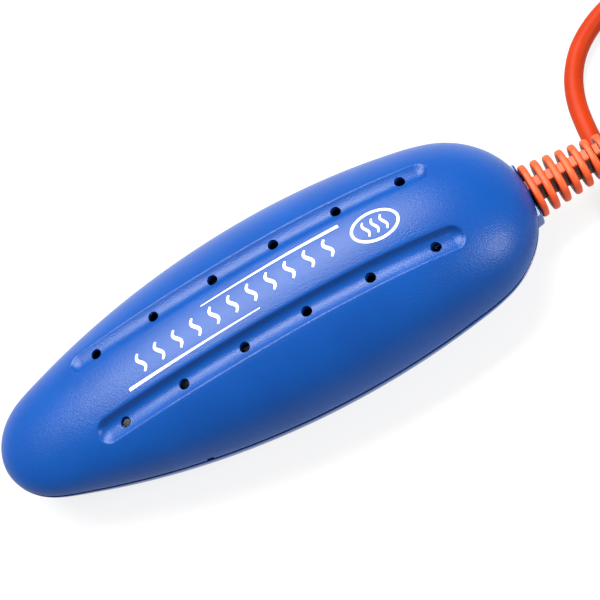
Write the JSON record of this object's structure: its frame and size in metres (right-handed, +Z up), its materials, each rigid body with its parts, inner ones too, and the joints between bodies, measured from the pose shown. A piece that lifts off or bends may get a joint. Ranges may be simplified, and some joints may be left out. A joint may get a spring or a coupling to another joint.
{
  "type": "boot dryer",
  "caption": "Electric boot dryer: a slim rounded two-shell pod with vent channels over an internal heater, on a mains lead with a ribbed strain relief and a flat plug.",
  "frame": {"origin": "centre of the housing with its strain relief aside, on the plane of the flat sole", "axes": "+X from the toe tip towards the lead, +Y across the housing, +Z up from the sole to the crown"},
  "size_m": [0.3049, 0.1044, 0.037],
  "materials": {
    "housing": "moulded blue plastic with a fine satin grain",
    "cord": "smooth orange sheath, slight satin",
    "plug": "moulded orange, satin",
    "pins": "nickel-plated, polished",
    "pin_sleeve": "smooth black",
    "tie": "matt black",
    "screws": "zinc plated",
    "heat_spreader": "extruded, plain",
    "insulating_film": "amber film",
    "electrode": "stamped strip",
    "heater_ceramic": "dark sintered ceramic",
    "spring_steel": "plain spring steel",
    "wire_blue": "wire insulation",
    "wire_brown": "wire insulation",
    "nylon": "natural nylon"
  },
  "bodies": {
    "root": {"upper_shell": "housing", "lower_shell": "housing", "strain_relief": "cord", "housing_screw_1": "screws", "housing_screw_2": "screws", "housing_screw_3": "screws", "housing_screw_4": "screws", "housing_screw_5": "screws", "clamp_screw_1": "screws", "clamp_screw_2": "screws", "heat_spreader_lower": "heat_spreader", "heat_spreader_upper": "heat_spreader", "insulation_lower": "insulating_film", "insulation_upper": "insulating_film", "electrode_lower": "electrode", "electrode_upper": "electrode", "ptc_chip_1": "heater_ceramic", "ptc_chip_2": "heater_ceramic", "spring_clip_1": "spring_steel", "spring_clip_2": "spring_steel", "lead_inner": "cord", "crimp_neutral": "electrode", "crimp_live": "electrode", "wire_neutral": "wire_blue", "wire_live": "wire_brown", "thermal_fuse": "nylon", "cord_clamp": "nylon", "cord_lead": "cord", "cord_tail": "cord", "cord_coil": "cord", "coil_tie": "tie", "plug_body": "plug", "plug_pin_1": "pins", "plug_pin_2": "pins", "pin_sleeve_1": "pin_sleeve", "pin_sleeve_2": "pin_sleeve"}
  },
  "joints": []
}
